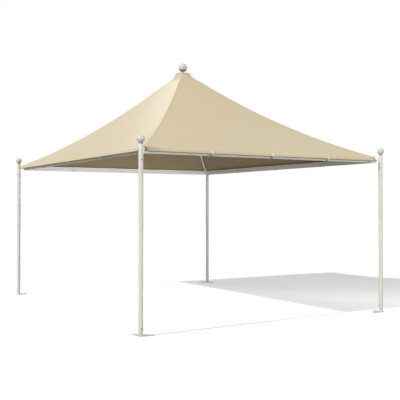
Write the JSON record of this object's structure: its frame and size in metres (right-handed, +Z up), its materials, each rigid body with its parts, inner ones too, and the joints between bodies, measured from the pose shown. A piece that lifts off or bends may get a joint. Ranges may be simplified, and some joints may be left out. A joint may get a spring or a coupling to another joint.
{
  "type": "peaked gazebo",
  "caption": "Open-sided gazebo with a peaked fabric roof on a steel eaves ring, round posts on three-cornered base plates, and ball finials.",
  "frame": {"origin": "ground level at the centre of the plan", "axes": "+Z up, +Y along the longer sides of the plan, +X along the shorter ones; the front is -Y"},
  "size_m": [4.0996, 5.0996, 3.958],
  "materials": {
    "champagne_powder_coat": "satin champagne powder coat",
    "ball_powder_coat": "smooth satin powder coat",
    "grey_powder_coat": "satin light grey powder coat",
    "coated_polyester": "sand-coloured coated polyester with a soft sheen",
    "strap_webbing": "off-white woven strap"
  },
  "bodies": {
    "root": {"apex_finial": "ball_powder_coat", "base_plate_back_left": "champagne_powder_coat", "base_plate_back_right": "champagne_powder_coat", "base_plate_front_left": "champagne_powder_coat", "base_plate_front_right": "champagne_powder_coat", "canopy_panel_back": "coated_polyester", "canopy_panel_front": "coated_polyester", "canopy_panel_left": "coated_polyester", "canopy_panel_right": "coated_polyester", "corner_socket_back_left": "grey_powder_coat", "corner_socket_back_right": "grey_powder_coat", "corner_socket_front_left": "grey_powder_coat", "corner_socket_front_right": "grey_powder_coat", "crown_cap": "coated_polyester", "crown_disc": "grey_powder_coat", "crown_hub": "grey_powder_coat", "eaves_beam_back": "grey_powder_coat", "eaves_beam_front": "grey_powder_coat", "eaves_beam_left": "grey_powder_coat", "eaves_beam_right": "grey_powder_coat", "hem_clip_back_1": "strap_webbing", "hem_clip_back_2": "strap_webbing", "hem_clip_back_3": "strap_webbing", "hem_clip_front_1": "strap_webbing", "hem_clip_front_2": "strap_webbing", "hem_clip_front_3": "strap_webbing", "hem_clip_left_1": "strap_webbing", "hem_clip_left_2": "strap_webbing", "hem_clip_left_3": "strap_webbing", "hem_clip_right_1": "strap_webbing", "hem_clip_right_2": "strap_webbing", "hem_clip_right_3": "strap_webbing", "hip_rafter_back_left": "grey_powder_coat", "hip_rafter_back_right": "grey_powder_coat", "hip_rafter_front_left": "grey_powder_coat", "hip_rafter_front_right": "grey_powder_coat", "post_back_left": "champagne_powder_coat", "post_back_right": "champagne_powder_coat", "post_finial_back_left": "ball_powder_coat", "post_finial_back_right": "ball_powder_coat", "post_finial_front_left": "ball_powder_coat", "post_finial_front_right": "ball_powder_coat", "post_front_left": "champagne_powder_coat", "post_front_right": "champagne_powder_coat"}
  },
  "joints": []
}
